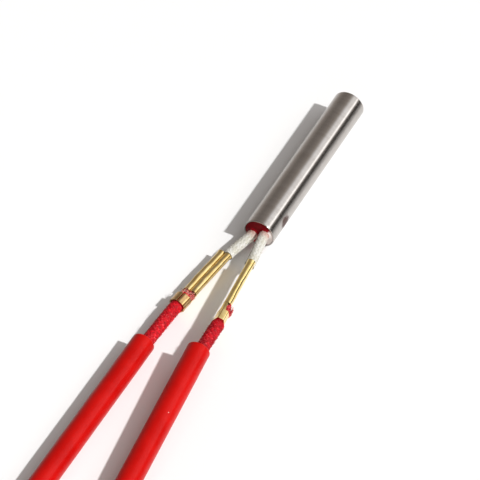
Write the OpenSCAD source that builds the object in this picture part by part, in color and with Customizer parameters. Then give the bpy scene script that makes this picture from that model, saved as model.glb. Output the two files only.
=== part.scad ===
// Cartridge heater with two crimped leads, lying on its side as it comes to rest.
// Millimetres. Origin: centre of the sheath's open mouth. +X: along the sheath to its closed end. +Z: up.
// The leads leave the mouth towards -X; "left" is the +Y lead and "right" the -Y lead.

/* [Sheath] */
// Outside diameter of the sheath
sheath_d = 8; // [7:0.5:12]
// Length of the sheath from mouth to closed end
sheath_l = 50; // [40:1:100]
// Wall of the sheath tube
sheath_wall = 0.35; // [0.3:0.05:0.6]
// Round on the rim of the closed end
end_round = 0.3; // [0.1:0.05:0.45]
// Chamfer inside the mouth
mouth_chamfer = 0.12; // [0.05:0.01:0.2]
// Thickness of the disc welded into the closed end
end_disc_t = 2; // [1:0.25:4]

/* [Filling] */
// Depth of the silicone seal below the mouth
seal_recess = 0.1; // [0.1:0.1:1]
// Thickness of the silicone seal
seal_t = 3; // [2:0.25:5]
// Length of the ceramic plug behind the seal
mouth_insulator_l = 5; // [3:0.5:8]
// Thickness of the ceramic disc at the closed end
base_insulator_t = 2; // [1:0.25:4]
// Thickness of the magnesia between the winding and the sheath
fill_t = 0.55; // [0.45:0.05:0.65]
// Free space at each end of the core, where the winding turns in
core_end_gap = 0.8; // [0.6:0.1:1.5]
// Diameter of the resistance wire
coil_wire_d = 0.4; // [0.2:0.05:0.45]
// Pitch of the winding
coil_pitch = 1.4; // [1:0.1:2.5]
// Distance from each end of the core to the winding
coil_margin = 0.8; // [0.5:0.1:4]

/* [Terminals] */
// Diameter of each nickel terminal pin
pin_d = 1.2; // [0.8:0.1:1.3]
// Distance between the two pins
pin_pitch = 3.3; // [3:0.05:3.5]
// How far the pair of pins is rolled about the sheath axis, left pin down
pin_roll = 20; // [0:5:45]
// How deep each pin reaches into the core
pin_depth = 12; // [6:1:20]
// Outside diameter of each braided glass sleeve
glass_od = 2.7; // [2.2:0.1:2.9]
// Wall of each braided glass sleeve
glass_wall = 0.6; // [0.4:0.05:0.65]
// Distance from the mouth to the bend of each pin
bend_out = 0.6; // [0.4:0.1:1]
// Bend radius of the pins, at their axis
bend_r = 4; // [3:0.5:5]

/* [Splices] */
// Thickness of the brass strip
strip_t = 0.35; // [0.25:0.05:0.45]
// Length of the rolled conductor barrel
barrel_l = 15; // [10:1:18]
// Gap between the conductor barrel and the insulation grip
splice_gap = 2.5; // [2.3:0.1:3.5]
// Length of the insulation grip
grip_l = 3; // [2:0.2:5]
// Width of the slit where the two wings of the grip meet
grip_slit = 0.2; // [0.1:0.05:0.5]
// Width of the web that joins barrel and grip
web_w = 1.8; // [1.2:0.1:2.2]
// Height of the lead's axis above the axes of the barrel's two rolls
wire_rise = 0.3; // [0.2:0.1:0.6]
// Length of bare conductor between the barrel and the lead's insulation
strip_gap = 1.6; // [1.4:0.1:2]
// Diameter of the lead's stranded conductor
strand_d = 1.2; // [0.9:0.1:1.3]

/* [Leads] */
// Outside diameter of the braided lead wire
wire_d = 3.4; // [3:0.1:3.7]
// Outside diameter of the silicone joint sleeve
sleeve_od = 5.8; // [5:0.1:7]
// Bore of the silicone joint sleeve
sleeve_id = 4.8; // [4.7:0.1:4.9]
// Length of each joint sleeve
sleeve_l = 75; // [60:1:75]
// Length of the stripped far end of each lead
bare_l = 8; // [5:1:10]
// Thickness of the tie strap
tie_t = 0.4; // [0.3:0.05:0.8]
// Width of the tie strap
tie_w = 2.5; // [2:0.5:5]
// Length of each side of the tie's square head
tie_head = 3.6; // [3:0.2:5]

/* [Clearances] */
// Between a piece and the bore that holds it
fit_gap = 0.02; // [0.01:0.01:0.05]
// Between the magnesia pieces, the winding and the sheath
fill_gap = 0.05; // [0.02:0.01:0.08]
// Between the lead and the grip, the tie, and the layers of the hank
soft_gap = 0.05; // [0.02:0.01:0.1]

/* [Hidden] */
$fn = 64;

LEFT = 1;
RIGHT = -1;

// The sheath lies on the floor, so the floor is one radius below the axis
floor_z = -sheath_d / 2;
sheath_ir = sheath_d / 2 - sheath_wall;

// Stations along the sheath, from the mouth to the closed end
seal_x1 = seal_recess + seal_t;
plug_x1 = seal_x1 + mouth_insulator_l;
disc_x0 = sheath_l - end_disc_t;
base_x0 = disc_x0 - base_insulator_t;
core_x0 = plug_x1 + core_end_gap;
core_x1 = base_x0 - core_end_gap;
pin_x1 = core_x0 + pin_depth;

// Winding, and the core that fits inside it
fill_or = sheath_ir - fill_gap;
fill_ir = fill_or - fill_t;
coil_r = fill_ir - fill_gap - coil_wire_d / 2;
core_r = coil_r - coil_wire_d / 2 - fill_gap;
coil_x0 = core_x0 + coil_margin;
coil_x1 = core_x1 - coil_margin;
coil_turns = floor((coil_x1 - coil_x0) / coil_pitch);
coil_steps = 16;
coil_sides = 6;
pin_bore_r = pin_d / 2 + fill_gap;

// Splice section: two rolls side by side, each round one conductor
pin_roll_r = pin_d / 2 + fit_gap;
strand_roll_r = strand_d / 2 + fit_gap;
roll_r = max(pin_roll_r, strand_roll_r) + strip_t;
roll_y = roll_r - strip_t / 2 + soft_gap;
grip_ir = wire_d / 2 + soft_gap;
grip_or = grip_ir + strip_t;
grip_x0 = barrel_l + splice_gap;
grip_x1 = grip_x0 + grip_l;
wire_x0 = barrel_l + strip_gap;
web_knee = splice_gap / 2;

// Bends of the pin and of the conductor at the ends of the barrel
pin_straight = 1.6;
strand_bend_r = 0.7;
strand_lead = 0.5;
strand_inset = 0.8;
bend_steps = 5;

// Where each splice lies: its sleeve end as [x, y, height above the floor], its heading and its roll
splice_at = [[-8.8, 4.8, 2.8], [-11, -3.15, 5.25]];
splice_heading = [173.3, 184.5];
splice_roll = [0, -108];

// Hank of the far part of both leads: one layer for each lead, folded in a U
fold_r = 3 * wire_d;
hank_x0 = -140;
hank_lead = 3;
hank_back_x0 = -146;
fold_x = -201;
tie_x = -168;
layer_0 = tie_t + soft_gap + wire_d / 2;
layer_1 = layer_0 + wire_d + soft_gap;

// Route of each lead past its splice as [x, y, height above the floor]
sleeve_from = [[-42.9, 8.8, sleeve_od / 2], [-41.3, -4.9, 5.5]];
sleeve_to = [[-117.9, 9.8, sleeve_od / 2], [-116, -11.3, sleeve_od / 2 + soft_gap]];
route_to_sleeve = [
    [[-34.2, 7.7, 3], [-38.4, 8.05, 2.75]],
    [[-35, -5.15, 5.15], [-38.3, -5.25, 5.15]]
];
hank_from = hank_x0 + hank_lead;
route_to_hank = [
    [[-124, 9.7, 2.4], [-130, 10, 2.25], [hank_from, fold_r, layer_0], [hank_x0, fold_r, layer_0]],
    [[-123, -11.5, 3.6], [-130, -10.8, 5], [hank_from, -fold_r, layer_1], [hank_x0, -fold_r, layer_1]]
];

// Where each lead lies in its joint sleeve, off the sleeve's axis
lead_shift = [0, -0.4, -0.35];

// Sides and rings of the swept pieces
lead_sides = 8;
rod_sides = 12;
glass_sides = 16;
sleeve_rings = 8;

// 0 for the left lead and 1 for the right one, to pick from the lists above
function pick(side) = side == LEFT ? 0 : 1;

function unit(v) = v / norm(v);

// A point given by its height above the floor
function on_floor(p) = [p[0], p[1], floor_z + p[2]];

// Any vector square to t
function square_to(t) = unit(cross(t, abs(t[2]) < 0.9 ? [0, 0, 1] : [1, 0, 0]));

// Axes of a splice: along the lead, across the two rolls, and from the base to the seam
function splice_x(side) =
    let (a = splice_heading[pick(side)])
    [cos(a), sin(a), 0];
function splice_y(side) =
    let (r = splice_roll[pick(side)], y = cross([0, 0, 1], splice_x(side)))
    y * cos(r) + [0, 0, sin(r)];
function splice_z(side) = cross(splice_x(side), splice_y(side));

// A point of a splice in the part's frame
function in_splice(side, p) =
    on_floor(splice_at[pick(side)])
    + p[0] * splice_x(side) + p[1] * splice_y(side) + p[2] * splice_z(side);

// Axis of a pin inside the sheath, at a station x
function pin_axis(side, x) = [
    x,
    side * pin_pitch / 2 * cos(pin_roll),
    -side * pin_pitch / 2 * sin(pin_roll)
];

// Corners of the bent axis that a pin and its glass sleeve share, from station x to depth p in the barrel
function pin_route(side, x, p) = [
    pin_axis(side, x),
    pin_axis(side, -bend_out),
    in_splice(side, [-pin_straight, roll_y, 0]),
    in_splice(side, [p, roll_y, 0])
];

// Direction and far end of a joint sleeve
function sleeve_dir(side) = unit(sleeve_to[pick(side)] - sleeve_from[pick(side)]);
function sleeve_axis(side, s) = on_floor(sleeve_from[pick(side)]) + s * sleeve_dir(side);

// The route of a lead from its splice to its hank, ring by ring
function lead_route(side) = concat(
    [for (x = [wire_x0, (grip_x0 + grip_x1) / 2, grip_x1 + 1]) in_splice(side, [x, 0, wire_rise])],
    [for (p = route_to_sleeve[pick(side)]) on_floor(p)],
    [for (i = [0 : sleeve_rings]) sleeve_axis(side, i * sleeve_l / sleeve_rings) + lead_shift],
    [for (p = route_to_hank[pick(side)]) on_floor(p)]
);

// The winding: in from the left pin, round the core, and back along the right pin's bore
function round_core(r, a, x) = [x, r * cos(a), r * sin(a)];
function winding_route() =
    let (
        a0 = -pin_roll,
        a1 = a0 + 360 * coil_turns + 180,
        steps = coil_steps * coil_turns + coil_steps / 2,
        lead_in = (core_x0 + plug_x1) / 2,
        lead_out = (core_x1 + base_x0) / 2,
        pin_side = pin_pitch / 2 + pin_d / 2 + fit_gap
    )
    concat(
        [round_core(pin_side, a0, lead_in), round_core(coil_r, a0, lead_in)],
        [for (i = [0 : steps])
            round_core(coil_r, a0 + (a1 - a0) * i / steps, coil_x0 + (coil_x1 - coil_x0) * i / steps)],
        [round_core(coil_r, a1, lead_out), pin_axis(RIGHT, lead_out)],
        [pin_axis(RIGHT, pin_x1 + fit_gap)]
    );

// Swept tubes

function along_path(p, i) = unit(p[min(i + 1, len(p) - 1)] - p[max(i - 1, 0)]);

// Section vectors carried along a path without twist
function carried(p) = [
    for (i = 0, n = square_to(along_path(p, 0)); i < len(p);
        i = i + 1,
        n = i < len(p) ? unit(n - (n * along_path(p, i)) * along_path(p, i)) : n)
        n
];

// Rings of points round a path
function rings(path, d, sides) =
    let (n = carried(path))
    [
        for (i = [0 : len(path) - 1], k = [0 : sides - 1])
            let (a = 360 * k / sides, b = cross(along_path(path, i), n[i]))
            path[i] + d / 2 * (cos(a) * n[i] + sin(a) * b)
    ];

// Triangles between neighbouring rings, the first ring starting at point "from"
function walls(count, sides, from = 0) = [
    for (i = [0 : count - 2], k = [0 : sides - 1], half = [0, 1])
        let (j = (k + 1) % sides, a = from + i * sides, b = a + sides)
        half == 0 ? [a + k, b + k, b + j] : [a + k, b + j, a + j]
];

function reversed(face) = [for (i = [len(face) - 1 : -1 : 0]) face[i]];

// A closed rod of a few sides along a path
module swept_rod(path, d, sides) {
    last = (len(path) - 1) * sides;
    ends = [
        [for (k = [0 : sides - 1]) k],
        [for (k = [sides - 1 : -1 : 0]) last + k]
    ];
    polyhedron(rings(path, d, sides), concat(walls(len(path), sides), ends), convexity = 10);
}

// A hollow tube of a few sides along a path
module swept_tube(path, od, id, sides) {
    inside = len(path) * sides;
    last = inside - sides;
    rims = [
        for (k = [0 : sides - 1], half = [0, 1])
            let (j = (k + 1) % sides)
            half == 0 ? [k, j, inside + j] : [k, inside + j, inside + k]
    ];
    far_rims = [for (f = rims) [for (i = reversed(f)) i + last]];
    polyhedron(
        concat(rings(path, od, sides), rings(path, id, sides)),
        concat(
            walls(len(path), sides),
            [for (f = walls(len(path), sides, inside)) reversed(f)],
            rims,
            far_rims
        ),
        convexity = 10
    );
}

// A path with its inner corners turned into arcs of radius r
function heading(p, i) = unit(p[i + 1] - p[i]);
function turn_at(p, i) = acos(min(1, heading(p, i - 1) * heading(p, i)));
function corner_arc(p, i, r) =
    let (
        t = heading(p, i - 1),
        turn = turn_at(p, i),
        n = unit(heading(p, i) - (heading(p, i) * t) * t),
        centre = p[i] - t * r * tan(turn / 2) + r * n
    )
    [for (s = [0 : bend_steps])
        let (a = turn * s / bend_steps)
        centre - r * cos(a) * n + r * sin(a) * t];
function bent(p, r) = concat(
    [p[0]],
    [for (i = [1 : len(p) - 2]) each corner_arc(p, i, r)],
    [p[len(p) - 1]]
);

// Puts the Z axis of its child on direction t at point p
module along(p, t) {
    u = square_to(t);
    v = cross(t, u);
    multmatrix([
        [u[0], v[0], t[0], p[0]],
        [u[1], v[1], t[1], p[1]],
        [u[2], v[2], t[2], p[2]],
        [0, 0, 0, 1]
    ])
        children();
}

module section(od, id) {
    difference() {
        circle(d = od);
        circle(d = id);
    }
}

// Turned pieces of the sheath

// Puts a turned child's axis on +X
module on_axis(x = 0) {
    translate([x, 0, 0])
        rotate([0, 90, 0])
            children();
}

module pin_bores(r, x0, x1) {
    for (side = [LEFT, RIGHT])
        translate(pin_axis(side, x0))
            on_axis()
                cylinder(r = r, h = x1 - x0);
}

module sheath_section() {
    difference() {
        translate([sheath_ir, 0])
            square([sheath_wall, sheath_l]);
        translate([sheath_d / 2 - end_round, sheath_l - end_round])
            difference() {
                square(end_round + 1);
                circle(r = end_round);
            }
        polygon([
            [sheath_ir - 1, -1],
            [sheath_ir + mouth_chamfer + 1, -1],
            [sheath_ir - 1, mouth_chamfer + 1]
        ]);
    }
}

module sheath() {
    color("silver")
        on_axis()
            rotate_extrude()
                sheath_section();
}

module end_disc() {
    color("gainsboro")
        on_axis(disc_x0)
            cylinder(r = sheath_ir - fit_gap, h = end_disc_t);
}

module base_insulator() {
    color("ivory")
        on_axis(base_x0 + fit_gap)
            cylinder(r = fill_or, h = base_insulator_t - 2 * fit_gap);
}

module magnesia_core() {
    color("white")
        difference() {
            on_axis(core_x0)
                cylinder(r = core_r, h = core_x1 - core_x0);
            pin_bores(pin_bore_r, core_x0 - 1, core_x1 + 1);
        }
}

module heating_coil() {
    color("dimgray")
        swept_rod(winding_route(), coil_wire_d, coil_sides);
}

module magnesia_fill() {
    color("whitesmoke")
        on_axis(plug_x1 + fit_gap)
            linear_extrude(base_x0 - plug_x1 - 2 * fit_gap)
                section(2 * fill_or, 2 * fill_ir);
}

module mouth_insulator() {
    color("ivory")
        difference() {
            on_axis(seal_x1 + fit_gap)
                cylinder(r = fill_or, h = mouth_insulator_l - fit_gap);
            pin_bores(pin_bore_r, seal_x1 - 1, plug_x1 + 1);
        }
}

module silicone_seal() {
    color("darkred")
        difference() {
            on_axis(seal_recess)
                cylinder(r = sheath_ir - fit_gap, h = seal_t);
            pin_bores(glass_od / 2 + fit_gap, seal_recess - 1, seal_x1 + 1);
        }
}

// Terminals and splices

module terminal_pin(side) {
    color("lightgray")
        swept_rod(bent(pin_route(side, pin_x1, barrel_l - strand_inset), bend_r), pin_d, rod_sides);
}

module glass_sleeve(side) {
    color("linen")
        swept_tube(
            bent(pin_route(side, seal_x1, -fit_gap), bend_r),
            glass_od, glass_od - 2 * glass_wall, glass_sides
        );
}

module barrel_section() {
    difference() {
        union() {
            for (y = [-roll_y, roll_y])
                translate([y, 0])
                    circle(r = roll_r);
            translate([-roll_y, -roll_r])
                square([2 * roll_y, roll_r]);
        }
        translate([roll_y, 0])
            circle(r = pin_roll_r);
        translate([-roll_y, 0])
            circle(r = strand_roll_r);
    }
}

module grip_section() {
    difference() {
        section(2 * grip_or, 2 * grip_ir);
        translate([-grip_slit / 2, 0])
            square([grip_slit, grip_or + 1]);
    }
}

// Side view of the web: it drops from the barrel's base to the grip's base
module web_section() {
    barrel_z = -roll_r;
    grip_z = wire_rise - grip_or;
    overlap = strip_t / 2;
    polygon([
        [-overlap, barrel_z],
        [0, barrel_z],
        [web_knee, grip_z],
        [splice_gap + overlap, grip_z],
        [splice_gap + overlap, grip_z + strip_t],
        [web_knee, grip_z + strip_t],
        [0, barrel_z + strip_t],
        [-overlap, barrel_z + strip_t]
    ]);
}

// Extrudes a section drawn across the lead along the splice's own X
module across(x, l) {
    translate([x, 0, 0])
        rotate([90, 0, 90])
            linear_extrude(l)
                children();
}

// The grip's inside, kept free of the web that runs into its base
module grip_bore() {
    translate([0, 0, wire_rise])
        across(grip_x0 - 1, grip_l + 2)
            circle(r = grip_ir);
}

module splice_body() {
    across(0, barrel_l)
        barrel_section();
    translate([0, 0, wire_rise])
        across(grip_x0, grip_l)
            grip_section();
    difference() {
        translate([barrel_l, web_w / 2, 0])
            rotate([90, 0, 0])
                linear_extrude(web_w)
                    web_section();
        grip_bore();
    }
}

module splice(side) {
    x = splice_x(side);
    y = splice_y(side);
    z = splice_z(side);
    o = on_floor(splice_at[pick(side)]);
    color("goldenrod")
        multmatrix([
            [x[0], y[0], z[0], o[0]],
            [x[1], y[1], z[1], o[1]],
            [x[2], y[2], z[2], o[2]],
            [0, 0, 0, 1]
        ])
            splice_body();
}

// Stripped front of the lead, from the barrel's other roll to the insulation
module conductor(side) {
    corners = [
        [strand_inset, -roll_y, 0],
        [barrel_l + strand_lead, -roll_y, 0],
        [wire_x0 - strand_lead, 0, wire_rise],
        [wire_x0 - fit_gap, 0, wire_rise]
    ];
    color("peru")
        swept_rod(bent([for (p = corners) in_splice(side, p)], strand_bend_r), strand_d, rod_sides);
}

// Leads

module lead_wire(side) {
    color("crimson")
        swept_rod(lead_route(side), wire_d, lead_sides);
}

module joint_sleeve(side) {
    color("red")
        along(sleeve_axis(side, 0), sleeve_dir(side))
            linear_extrude(sleeve_l)
                section(sleeve_od, sleeve_id);
}

function layer_z(side) = floor_z + (side == LEFT ? layer_0 : layer_1);

// Out along one side, round the fold, and back along the other side
module hank_outline() {
    leg_y = fold_r - wire_d / 2;
    translate([fold_x, leg_y])
        square([hank_x0 - fit_gap - fold_x, wire_d]);
    translate([fold_x, -leg_y - wire_d])
        square([hank_back_x0 - fold_x, wire_d]);
    translate([fold_x, 0])
        difference() {
            circle(r = leg_y + wire_d);
            circle(r = leg_y);
            translate([0, -2 * fold_r])
                square(4 * fold_r);
        }
}

module lead_hank(side) {
    color("crimson")
        translate([0, 0, layer_z(side) - wire_d / 2])
            linear_extrude(wire_d)
                mirrored_for(side)
                    hank_outline();
}

// The right lead's hank is the left one's mirror image
module mirrored_for(side) {
    if (side == LEFT) children();
    else mirror([0, 1]) children();
}

module bare_end(side) {
    color("lightgray")
        translate([hank_back_x0 + fit_gap, -side * fold_r, layer_z(side)])
            on_axis()
                cylinder(d = strand_d, h = bare_l);
}

// A strap round both layers on one side of the hank, with its head on the outside
module hank_tie(side) {
    inner = [wire_d + 2 * soft_gap, 2 * wire_d + 3 * soft_gap];
    outer = inner + 2 * [tie_t, tie_t];
    middle_z = floor_z + outer[1] / 2;
    color("white")
        translate([tie_x, side * fold_r, middle_z])
            across(0, tie_w)
                difference() {
                    square(outer, center = true);
                    square(inner, center = true);
                }
    color("white")
        translate([tie_x + tie_w / 2, side * (fold_r + outer[0] / 2 + tie_t), middle_z])
            cube([tie_head, 2 * tie_t, tie_head], center = true);
}

sheath();
end_disc();
base_insulator();
magnesia_core();
heating_coil();
magnesia_fill();
mouth_insulator();
silicone_seal();
terminal_pin(LEFT);  // left_terminal_pin
terminal_pin(RIGHT);  // right_terminal_pin
glass_sleeve(LEFT);  // left_glass_sleeve
glass_sleeve(RIGHT);  // right_glass_sleeve
splice(LEFT);  // left_splice
splice(RIGHT);  // right_splice
conductor(LEFT);  // left_conductor
conductor(RIGHT);  // right_conductor
lead_wire(LEFT);  // left_lead_wire
lead_wire(RIGHT);  // right_lead_wire
joint_sleeve(LEFT);  // left_joint_sleeve
joint_sleeve(RIGHT);  // right_joint_sleeve
lead_hank(LEFT);  // left_lead_hank
lead_hank(RIGHT);  // right_lead_hank
bare_end(LEFT);  // left_bare_end
bare_end(RIGHT);  // right_bare_end
hank_tie(LEFT);  // left_hank_tie
hank_tie(RIGHT);  // right_hank_tie
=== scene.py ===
"""Looks of a cartridge heater with two crimped leads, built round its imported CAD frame.

Lengths in this file are millimetres in the part's frame until a mesh is made, which is in metres.
"""

import math
import random

import bpy
import numpy as np
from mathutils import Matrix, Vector


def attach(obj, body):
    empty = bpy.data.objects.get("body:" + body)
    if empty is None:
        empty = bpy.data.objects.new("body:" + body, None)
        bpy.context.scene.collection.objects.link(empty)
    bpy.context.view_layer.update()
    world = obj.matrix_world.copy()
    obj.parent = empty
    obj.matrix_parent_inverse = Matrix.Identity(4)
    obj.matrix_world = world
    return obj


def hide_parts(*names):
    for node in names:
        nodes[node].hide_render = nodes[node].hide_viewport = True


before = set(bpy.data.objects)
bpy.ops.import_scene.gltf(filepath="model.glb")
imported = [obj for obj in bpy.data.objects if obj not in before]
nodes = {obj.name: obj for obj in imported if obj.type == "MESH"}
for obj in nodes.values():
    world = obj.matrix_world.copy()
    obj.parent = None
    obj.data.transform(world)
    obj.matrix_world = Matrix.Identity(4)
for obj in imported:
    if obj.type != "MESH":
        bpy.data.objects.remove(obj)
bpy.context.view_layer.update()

MM = 0.001
LEFT, RIGHT = "left", "right"
SIGN = {LEFT: 1, RIGHT: -1}

# Sizes that repeat those of the CAD source
FLOOR_Z = -4.0
SHEATH_R, SHEATH_L, SHEATH_WALL, END_ROUND = 4.0, 50.0, 0.35, 0.3
BORE_R, MOUTH_CHAMFER = SHEATH_R - SHEATH_WALL, 0.12
SEAL_X0, SEAL_X1 = 0.1, 3.1
PIN_PITCH, PIN_ROLL, BEND_OUT, BEND_R, PIN_STRAIGHT = 3.3, math.radians(20), 0.6, 4.0, 1.6
GLASS_R, GLASS_WALL = 1.35, 0.6
STRIP_T, BARREL_L, SPLICE_GAP, GRIP_L = 0.35, 15.0, 2.5, 3.0
ROLL_R, ROLL_Y, WIRE_RISE, GRIP_IR = 0.97, 0.845, 0.3, 1.75
ROLL_MIDDLE_R = ROLL_R - STRIP_T / 2
WIRE_R, STRAND_R, STRIP_GAP = 1.7, 0.6, 1.6
STRAND_INSET, STRAND_LEAD, STRAND_BEND_R = 0.8, 0.5, 0.7
SLEEVE_R, SLEEVE_IR, SLEEVE_L = 2.9, 2.4, 75.0
FOLD_R, FOLD_X, HANK_BACK_X, BARE_L = 10.2, -201.0, -146.0, 8.0
LAYER_Z = {LEFT: -1.85, RIGHT: 1.6}
TIE_X, TIE_T, TIE_W, TIE_HEAD = -168.0, 0.4, 2.5, 3.6
FIT_GAP, SOFT_GAP = 0.02, 0.05
SPLICE_AT = {LEFT: (-8.8, 4.8, -1.2), RIGHT: (-11.0, -3.15, 1.25)}
SPLICE_HEADING = {LEFT: math.radians(173.3), RIGHT: math.radians(184.5)}
SPLICE_ROLL = {LEFT: 0.0, RIGHT: math.radians(-108)}
SLEEVE_FROM = {LEFT: (-42.9, 8.8, -1.1), RIGHT: (-41.3, -4.9, 1.5)}
SLEEVE_TO = {LEFT: (-117.9, 9.8, -1.1), RIGHT: (-116.0, -11.3, -1.05)}
LEAD_SHIFT = np.array((0.0, -0.4, -0.35))
ROUTE_TO_SLEEVE = {
    LEFT: [(-34.2, 7.7, -1.0), (-38.4, 8.05, -1.25)],
    RIGHT: [(-35.0, -5.15, 1.15), (-38.3, -5.25, 1.15)],
}
ROUTE_TO_HANK = {
    LEFT: [(-124.0, 9.7, -1.6), (-130.0, 10.0, -1.75), (-137.0, 10.2, -1.85), (-140.0, 10.2, -1.85)],
    RIGHT: [(-123.0, -11.5, -0.4), (-130.0, -10.8, 1.0), (-137.0, -10.2, 1.6), (-140.0, -10.2, 1.6)],
}

# Sizes that only the render has

# Height that each grip keeps of a round one, and how far its section is pressed to six flats
GRIP_SQUASH = {LEFT: 0.93, RIGHT: 0.64}
GRIP_FLATS = {LEFT: 0.35, RIGHT: 0.95}
# Length in which the lead swells again behind its grip
SWELL_L = 0.3

# Camera and light

CAMERA_AZ, CAMERA_EL, CAMERA_FAR = math.radians(-63.209), math.radians(46.204), 950.0
PX_PER_MM, MOUTH_PX, FRAME_PX, SENSOR = 4.16, (259.1, 233.7), 480.0, 36.0


def make_camera():
    """A long lens that puts the mouth's centre on its pixel of the photograph."""
    back = Vector((
        math.sin(CAMERA_AZ) * math.cos(CAMERA_EL),
        -math.cos(CAMERA_AZ) * math.cos(CAMERA_EL),
        math.sin(CAMERA_EL),
    ))
    right = Vector((math.cos(CAMERA_AZ), math.sin(CAMERA_AZ), 0))
    up = back.cross(right)
    middle = FRAME_PX / 2
    aim = -right * ((MOUTH_PX[0] - middle) / PX_PER_MM) - up * ((middle - MOUTH_PX[1]) / PX_PER_MM)
    data = bpy.data.cameras.new("camera")
    data.sensor_width = SENSOR
    data.lens = SENSOR * PX_PER_MM * CAMERA_FAR / FRAME_PX
    data.clip_start, data.clip_end = 0.1, 100
    camera = bpy.data.objects.new("camera", data)
    camera.location = (aim + back * CAMERA_FAR) * MM
    camera.rotation_mode = "QUATERNION"
    camera.rotation_quaternion = (-back).to_track_quat("-Z", "Y")
    bpy.context.scene.collection.objects.link(camera)
    bpy.context.scene.camera = camera


TO_SUN, SUN_STRENGTH, SUN_ANGLE = Vector((-0.02, -0.707, 0.707)), 3.3, math.radians(2.5)
# Brightness of the room round the heater's long axis, by the angle up from +Y in degrees
ROOM = [
    (0, 0.5), (12, 0.4), (22, 0.32), (40, 0.25), (56, 0.26), (71, 0.3), (85, 0.35), (93, 0.44), (100, 0.62),
    (107, 0.98), (113, 1.28), (119, 1.33), (127, 1.22), (135, 1.18), (139.5, 1.5), (143, 2.7), (147, 2.4),
    (150, 1.3), (153, 0.45), (157, 0.16), (163, 0.08), (180, 0.05),
]
# Share of that brightness towards -X
ROOM_BEHIND = 0.36


def room_color(brightness):
    """The room's dark sides are brown, its bright ones white."""
    brown = min(1.0, max(0.0, (0.9 - brightness) / 0.5))
    return tuple(brightness * (1 + brown * shift) for shift in (0.09, -0.02, -0.1))


def make_light():
    sun = bpy.data.lights.new("sun", "SUN")
    sun.energy, sun.angle = SUN_STRENGTH, SUN_ANGLE
    lamp = bpy.data.objects.new("sun", sun)
    lamp.rotation_mode = "QUATERNION"
    lamp.rotation_quaternion = (-TO_SUN).to_track_quat("-Z", "Y")
    bpy.context.scene.collection.objects.link(lamp)

    world = bpy.data.worlds.new("room")
    bpy.context.scene.world = world
    world.use_nodes = True
    g = Graph(world.node_tree)
    x, y, z = g.split(g.coordinate("Generated"))
    share = g.math("DIVIDE", g.math("ARCTAN2", z, y), math.pi)
    ramp = g.ramp(share, [(a / 180, room_color(e)) for a, e in ROOM])
    background = world.node_tree.nodes["Background"]
    g.feed(background.inputs["Color"], ramp)
    g.feed(background.inputs["Strength"], g.spread(x, -0.1, 0.4, ROOM_BEHIND, 1.0))


# Materials

class Graph:
    """Short names for the shader nodes that the materials use."""

    def __init__(self, tree):
        self.tree = tree

    def node(self, kind, **values):
        made = self.tree.nodes.new(kind)
        for name, value in values.items():
            setattr(made, name, value)
        return made

    def feed(self, socket, value):
        if isinstance(value, bpy.types.NodeSocket):
            self.tree.links.new(value, socket)
        elif isinstance(value, tuple) and len(value) == 3 and socket.type == "RGBA":
            socket.default_value = (*value, 1)
        else:
            socket.default_value = value

    def coordinate(self, name="Object"):
        return self.node("ShaderNodeTexCoord").outputs[name]

    def attribute(self, name):
        return self.node("ShaderNodeAttribute", attribute_name=name).outputs["Fac"]

    def split(self, vector):
        made = self.node("ShaderNodeSeparateXYZ")
        self.feed(made.inputs[0], vector)
        return [made.outputs[i] for i in range(3)]

    def join(self, x, y, z):
        made = self.node("ShaderNodeCombineXYZ")
        for socket, value in zip(made.inputs, (x, y, z)):
            self.feed(socket, value)
        return made.outputs[0]

    def stretched(self, scale):
        """Places in the part's frame, times one number or a number for each axis."""
        made = self.node("ShaderNodeVectorMath", operation="MULTIPLY")
        self.feed(made.inputs[0], self.coordinate())
        made.inputs[1].default_value = scale if isinstance(scale, tuple) else (scale,) * 3
        return made.outputs[0]

    def distance(self, point, scale=(1, 1, 1)):
        """Distance from a point in millimetres, with the axes stretched by scale."""
        made = self.node("ShaderNodeVectorMath", operation="DISTANCE")
        self.feed(made.inputs[0], self.stretched(tuple(s / MM for s in scale)))
        made.inputs[1].default_value = tuple(p * s for p, s in zip(point, scale))
        return made.outputs["Value"]

    def noise(self, vector, detail=3.0, roughness=0.55):
        made = self.node("ShaderNodeTexNoise")
        self.feed(made.inputs["Vector"], vector)
        made.inputs["Scale"].default_value = 1.0
        made.inputs["Detail"].default_value = detail
        made.inputs["Roughness"].default_value = roughness
        return made.outputs["Fac"]

    def specks(self, scale):
        made = self.node("ShaderNodeTexVoronoi")
        self.feed(made.inputs["Vector"], self.coordinate())
        made.inputs["Scale"].default_value = scale
        return made.outputs["Distance"]

    def math(self, operation, a, b=0.0):
        made = self.node("ShaderNodeMath", operation=operation)
        self.feed(made.inputs[0], a)
        self.feed(made.inputs[1], b)
        return made.outputs[0]

    def spread(self, value, low, high, to_low=0.0, to_high=1.0):
        made = self.node("ShaderNodeMapRange", interpolation_type="SMOOTHSTEP")
        for name, v in (("Value", value), ("From Min", low), ("From Max", high)):
            self.feed(made.inputs[name], v)
        made.inputs["To Min"].default_value, made.inputs["To Max"].default_value = to_low, to_high
        return made.outputs["Result"]

    def ramp(self, value, stops):
        made = self.node("ShaderNodeValToRGB")
        self.feed(made.inputs[0], value)
        band = made.color_ramp.elements
        while len(band) < len(stops):
            band.new(1.0)
        for element, (place, color) in zip(band, stops):
            element.position = place
            element.color = (*color, 1)
        return made.outputs["Color"]

    def mix(self, share, a, b):
        made = self.node("ShaderNodeMix", data_type="RGBA")
        for i, value in ((0, share), (6, a), (7, b)):
            self.feed(made.inputs[i], value)
        return made.outputs[2]

    def bump(self, height, distance, strength):
        made = self.node("ShaderNodeBump")
        self.feed(made.inputs["Height"], height)
        made.inputs["Distance"].default_value = distance * MM
        made.inputs["Strength"].default_value = strength
        return made.outputs["Normal"]


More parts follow.
